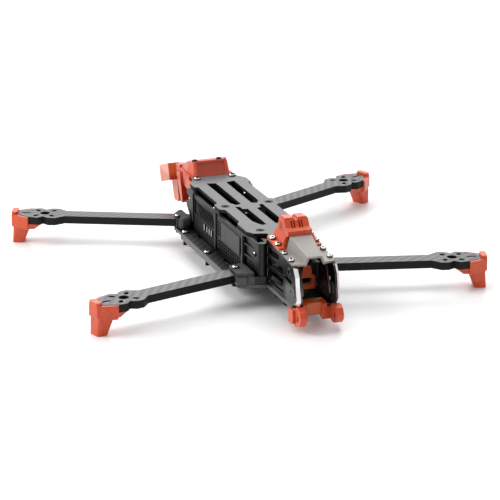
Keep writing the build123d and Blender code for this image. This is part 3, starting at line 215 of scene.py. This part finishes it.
def printed(name, deep, bright, glow_amount=0.16, coat=0.16, specular=0.6):
    """Translucent printed elastomer with fine level layer lines."""
    g = Graph(name)
    place = g.place()
    x, y, z = g.axes(place)[:3]
    off_centre = g.math("ABSOLUTE", y)
    facing = g.normals()
    layer = g.math("PINGPONG", g.math("DIVIDE", z, PRINT_LAYER), 0.5)
    grain = g.noise(place, 0.35, 4.0)
    wear = edge_wear(g, 0.5)
    colour = g.mix(g.ramp(grain, 0.3, 0.7), deep, bright)
    colour = g.mix(g.times(wear, 0.25), colour, RUBBED_RED)
    # Painted light: the colour turns amber where the print is thin, standing for light coming
    # through it: the bumper's web and the tail's sockets.
    # The web's zone has no limit in height, so it also warms the middle of the camera's cushion.
    nose_web = g.times(g.ramp(x, *WEB_X), g.ramp(off_centre, *WEB_Y))
    on_body = g.ramp(off_centre, *BODY_Y)
    sockets = g.times(g.ramp(x, *SOCKET_X), on_body)
    thin = g.math("MAXIMUM", nose_web, sockets)
    colour = g.mix(g.times(thin, 0.6), colour, AMBER)
    # The receiver box's front panel is a duller, darker red
    panel = g.times(g.ramp(x, *BOX_PANEL_REAR_X), g.ramp(x, *BOX_PANEL_FRONT_X))
    panel = g.times(panel, g.ramp(off_centre, *BOX_PANEL_Y))
    colour = g.mix(g.times(panel, 0.5), colour, DULL_RED)
    # Painted shade: the front faces of the tail's hanging fins are painted a deep red, turned away
    # from the key light
    hanging = g.times(g.ramp(z, *TAIL_FIN_Z), g.ramp(x, *TAIL_FIN_X))
    shaded_front = g.times(hanging, on_body, g.ramp(facing[0], 0.4, 0.7))
    colour = g.mix(g.times(shaded_front, 0.75), colour, SHADED_RED)
    # Painted highlight: outward faces of the tail are painted milky pink above the fins, standing
    # for the light that rakes through them
    raked = g.times(g.ramp(x, *TAIL_FLANK_X, 0.10, 0.50), on_body)
    raked = g.times(raked, g.ramp(hanging, 0.0, 1.0, 1.0, 0.2))
    flank = g.ramp(g.math("ABSOLUTE", facing[1]), 0.8, 0.95)
    colour = g.mix(g.times(flank, raked), colour, PAINTED_SHEEN_PINK)
    height = g.math("ADD", layer, g.times(g.noise(place, 2.5, 2.0), 0.4))
    normal = g.bump(height, 0.05, 0.5, g.bevel(0.45))
    rough = g.math("ADD", 0.24, g.times(grain, 0.16))
    body = principled(
        g, Base_Color=colour, Roughness=rough, Normal=normal, IOR=1.5, Specular_IOR_Level=specular,
        Subsurface_Weight=0.25, Subsurface_Radius=(1.0, 0.22, 0.05), Subsurface_Scale=2.0 * MM,
        Coat_Weight=coat, Coat_Roughness=0.3,
    )
    glow = g.node("BsdfTranslucent", {"Color": GLOW}).outputs[0]
    return g.surface(g.node("MixShader", {0: glow_amount, 1: body, 2: glow}).outputs[0])


# The side panels' proudest ribs, and the short fins under the rear window
PROUD_Y = (25.3, 25.5)
SHORT_FIN_Z = (29.8, 29.5)
SHORT_FIN_X = -25.4
SHORT_FIN_REACH = 10.0

PAINTED_HIGHLIGHT_GREY = (0.62, 0.62, 0.63)
PAINTED_SHADE_BLACK = (0.001, 0.001, 0.001)


def moulded(name, colour, rough, specular):
    """Fine-grained moulded nylon, with painted shade darkening its crevices."""
    g = Graph(name)
    place = g.place()
    x, y, z = g.axes(place)[:3]
    grain = g.noise(place, 3.0, 2.0)
    patch = g.noise(place, 0.08, 3.0)
    wear = edge_wear(g, 0.35)
    air = open_air(g, 7.0)
    shade = g.mix(g.times(wear, 0.75), colour, scaled(colour, 4.0, 0.03))
    # Painted highlight: the proudest ribs are painted pale, and the short fins most of all
    proud = g.ramp(g.math("ABSOLUTE", y), *PROUD_Y)
    fin_distance = g.math("ABSOLUTE", g.math("SUBTRACT", x, SHORT_FIN_X))
    fins = g.times(g.ramp(z, *SHORT_FIN_Z), g.math("LESS_THAN", fin_distance, SHORT_FIN_REACH))
    shade = g.mix(g.times(proud, g.ramp(fins, 0.0, 1.0, 0.10, 0.9)), shade, PAINTED_HIGHLIGHT_GREY)
    # Painted shade: colour and gloss fall to black in crevices, by ambient occlusion
    shade = g.mix(air, PAINTED_SHADE_BLACK, shade)
    normal = g.bump(grain, 0.04, 0.4, g.bevel(0.3))
    roughness = g.math("ADD", rough, g.times(patch, 0.15))
    gloss = g.times(specular, air)
    return g.surface(principled(
        g, Base_Color=shade, Roughness=roughness, Specular_IOR_Level=gloss, Normal=normal
    ))


# The cage plates get a painted reflection, paler around the pivot, towards their lower front corner
REFLECTION_X = (112.0, 118.0)
REFLECTION_Z = (33.0, 29.0)
PAINTED_REFLECTION_GREY = (0.17, 0.17, 0.172)
BARE_METAL = (0.88, 0.87, 0.86)


def cage_metal(name, colour, rough, metallic, cut_bright=True):
    """Blasted alloy that rubs through at its edges. Cut bright, its slanted bevels shine too."""
    g = Graph(name)
    place = g.place()
    wear = edge_wear(g, 0.22)
    if cut_bright:
        lean = g.math("ABSOLUTE", g.normals()[1])
        bevelled = g.times(g.math("GREATER_THAN", lean, 0.35), g.math("LESS_THAN", lean, 0.93))
        bright = g.math("MAXIMUM", bevelled, g.times(wear, 0.6))
        x, _, z = g.axes(place)[:3]
        # Painted reflection: a paler grey towards the lower front corner
        reflection_patch = g.times(g.ramp(x, *REFLECTION_X), g.ramp(z, *REFLECTION_Z))
        colour = g.mix(g.times(reflection_patch, 0.8), colour, PAINTED_REFLECTION_GREY)
    else:
        bright = g.times(wear, 0.35)
    blast = g.noise(place, 5.0, 2.0)
    patch = g.noise(place, 0.06, 2.0)
    shade = g.mix(bright, colour, BARE_METAL)
    roughness = g.mix(bright, (rough,) * 3, (0.2,) * 3)
    roughness = g.math("ADD", roughness, g.times(patch, 0.10))
    normal = g.bump(blast, 0.02, 0.4, g.bevel(0.2))
    return g.surface(principled(
        g, Base_Color=shade, Metallic=metallic, Roughness=roughness, Normal=normal
    ))


def screw_metal(name, colour, rough, tail_below=None, metallic=1.0, specular=0.5):
    """Turned steel, with painted shade making it black down in the sockets. Below a given height it
    is black too.
    """
    g = Graph(name)
    place = g.place()
    scuff = g.noise(place, 1.6, 4.0)
    # Painted shade: black down in the sockets, by ambient occlusion
    unshaded = g.ramp(g.occlusion(1.6), 0.55, 0.92)
    shade = g.mix(unshaded, scaled(colour, 0.02), colour)
    # Painted reflection: the colour darkens wherever the polish would mirror the horizon, standing
    # for the dark end of the studio
    mirrored = g.axes(g.node("TexCoord").outputs["Reflection"])[2]
    shade = g.mix(g.ramp(mirrored, 0.25, 0.60), scaled(colour, 0.06), shade)
    if tail_below is not None:
        tail = g.ramp(g.axes(place)[2], tail_below - 0.1, tail_below + 0.1)
        shade = g.mix(tail, (0.01, 0.01, 0.01), shade)
    roughness = g.math("ADD", rough, g.times(scuff, 0.15))
    normal = g.bump(scuff, 0.02, 0.3, g.bevel(0.15))
    return g.surface(principled(
        g, Base_Color=shade, Metallic=metallic, Roughness=roughness, Specular_IOR_Level=specular,
        Normal=normal,
    ))


# --- finishes on the CAD nodes --------------------------------------------------------------------

FRONT_SWEEP = 15.0
REAR_SWEEP = 25.0
UNDER_FLANGE = 16.5

# The plates' cut edges are painted pale grey (cut_edge 0.34): painted light standing for their lit
# side faces
PLATE_LOOK = {"weave_depth": 1.3, "sheen": (0.030, 0.030, 0.032), "cut_edge": 0.34, "shine": 0.2}
BRIGHT_STEEL = (0.82, 0.81, 0.80)

plate_weave = carbon("carbon_plates", 0.0, **PLATE_LOOK)
floor_weave = carbon("carbon_base_plate", 0.0, boxed_in=True, **PLATE_LOOK)
deck_weave = carbon("carbon_top_deck", 0.0, weave_depth=0.05, sheen=(0.125, 0.128, 0.130))
tpu = printed("printed_tpu", (0.62, 0.056, 0.008), (0.74, 0.095, 0.014))
# A darker copy of the print for the camera's cushion: painted shade for its place deep inside the
# cage
tpu_shaded = printed(
    "printed_tpu_shaded", (0.30, 0.004, 0.003), (0.42, 0.007, 0.005), glow_amount=0.04, coat=0.0,
    specular=0.15,
)
nylon = moulded("moulded_nylon", (0.012, 0.012, 0.013), 0.38, specular=0.42)
clamp_nylon = moulded("clamp_nylon", (0.004, 0.004, 0.004), 0.5, specular=0.12)
cage = cage_metal("cage_alloy", (0.012, 0.012, 0.013), 0.30, metallic=0.85)
hood = cage_metal("hood_alloy", (0.30, 0.278, 0.26), 0.46, metallic=0.45, cut_bright=False)
post_metal = screw_metal("standoff_alloy", (0.03, 0.03, 0.03), 0.35)
steel = screw_metal("steel_screws", BRIGHT_STEEL, 0.14)
flange_steel = screw_metal("flange_steel", BRIGHT_STEEL, 0.14, tail_below=UNDER_FLANGE)
black_steel = screw_metal(
    "black_screws", (0.008, 0.008, 0.008), 0.42, metallic=0.0, specular=0.12
)

by_slot = {
    "carbon_laminate": plate_weave,
    "printed_tpu": tpu,
    "moulded_nylon": nylon,
    "cage_alloy": cage,
    "standoff_alloy": post_metal,
    "black_screws": black_steel,
    "steel_screws": steel,
}
by_node = {
    "cage_hood": hood,
    "top_plate": deck_weave,
    "camera_cushion": tpu_shaded,
    "base_plate": floor_weave,
    "clamp_rear_left": clamp_nylon,
    "clamp_rear_right": clamp_nylon,
    "clamp_cap_front_left": clamp_nylon,
    "clamp_cap_front_right": clamp_nylon,
    "flange_screws": flange_steel,
}
for end, sweep in (("front", -FRONT_SWEEP), ("rear", REAR_SWEEP)):
    for side, sign in (("left", 1), ("right", -1)):
        by_node[f"arm_{end}_{side}"] = carbon(f"carbon_arm_{end}_{side}", -sign * sweep)

for entry in frame["record"]["subparts"]:
    name = entry["node"]
    finish = by_node.get(name, by_slot[entry["material_slot"]])
    mesh = nodes[name].data
    mesh.materials.clear()
    mesh.materials.append(finish)

# --- studio, in metres ----------------------------------------------------------------------------

FLOOR_HALF = 12.0
LIT_BY_SKY = 0.58
SKY_ON_VIEW = 1.0


def plane_mesh(name, half):
    mesh = bpy.data.meshes.new(name)
    corners = [(-half, -half, 0), (half, -half, 0), (half, half, 0), (-half, half, 0)]
    mesh.from_pydata(corners, [], [(0, 1, 2, 3)])
    made = bpy.data.objects.new(name, mesh)
    bpy.context.scene.collection.objects.link(made)
    return made


floor = plane_mesh("floor", FLOOR_HALF)
g = Graph("floor_white")
speck = g.noise(g.place(), 0.02, 2.0)
floor_shade = g.mix(speck, (0.90, 0.90, 0.905), (0.93, 0.93, 0.93))
floor.data.materials.append(
    g.surface(principled(g, Base_Color=floor_shade, Roughness=0.32, Specular_IOR_Level=0.25))
)

world = bpy.data.worlds.new("studio")
world.use_nodes = True
sky = world.node_tree
back = sky.nodes["Background"]
back.inputs["Color"].default_value = (1.0, 1.0, 1.0, 1.0)
ray = sky.nodes.new("ShaderNodeLightPath")
strength = sky.nodes.new("ShaderNodeMapRange")
strength.inputs["To Min"].default_value = LIT_BY_SKY
strength.inputs["To Max"].default_value = SKY_ON_VIEW
sky.links.new(ray.outputs["Is Camera Ray"], strength.inputs["Value"])
sky.links.new(strength.outputs["Result"], back.inputs["Strength"])
bpy.context.scene.world = world

LAMP_AIM = (0.0, 0.0, 0.03)


def look_at(target, spot):
    return (Vector(target) - Vector(spot)).to_track_quat("-Z", "Y").to_euler()


def softbox(name, spot, width, height, watts):
    lamp = bpy.data.lights.new(name, "AREA")
    lamp.shape = "RECTANGLE"
    lamp.size = width
    lamp.size_y = height
    lamp.energy = watts
    made = bpy.data.objects.new(name, lamp)
    made.location = spot
    made.rotation_euler = look_at(LAMP_AIM, spot)
    bpy.context.scene.collection.objects.link(made)


softbox("key_right", (-0.45, -1.5, 1.2), 1.0, 0.8, 24.0)
softbox("top", (-0.5, 0.2, 1.9), 1.6, 1.6, 18.0)
softbox("back", (-1.7, 0.5, 1.1), 1.4, 0.7, 13.0)

TARGET = Vector((-12.56, 4.01, 11.94)) * MM
VIEWPOINT = Vector((1643.60, -610.11, 608.07)) * MM
SENSOR_WIDTH = 36.0
FOCAL_LENGTH = 176.0

lens = bpy.data.cameras.new("camera")
lens.sensor_width = SENSOR_WIDTH
lens.lens = FOCAL_LENGTH
lens.clip_start = 0.05
lens.clip_end = 60.0
camera = bpy.data.objects.new("camera", lens)
camera.location = VIEWPOINT
camera.rotation_euler = look_at(TARGET, VIEWPOINT)
bpy.context.scene.collection.objects.link(camera)
bpy.context.scene.camera = camera
bpy.context.scene.view_settings.view_transform = "Standard"
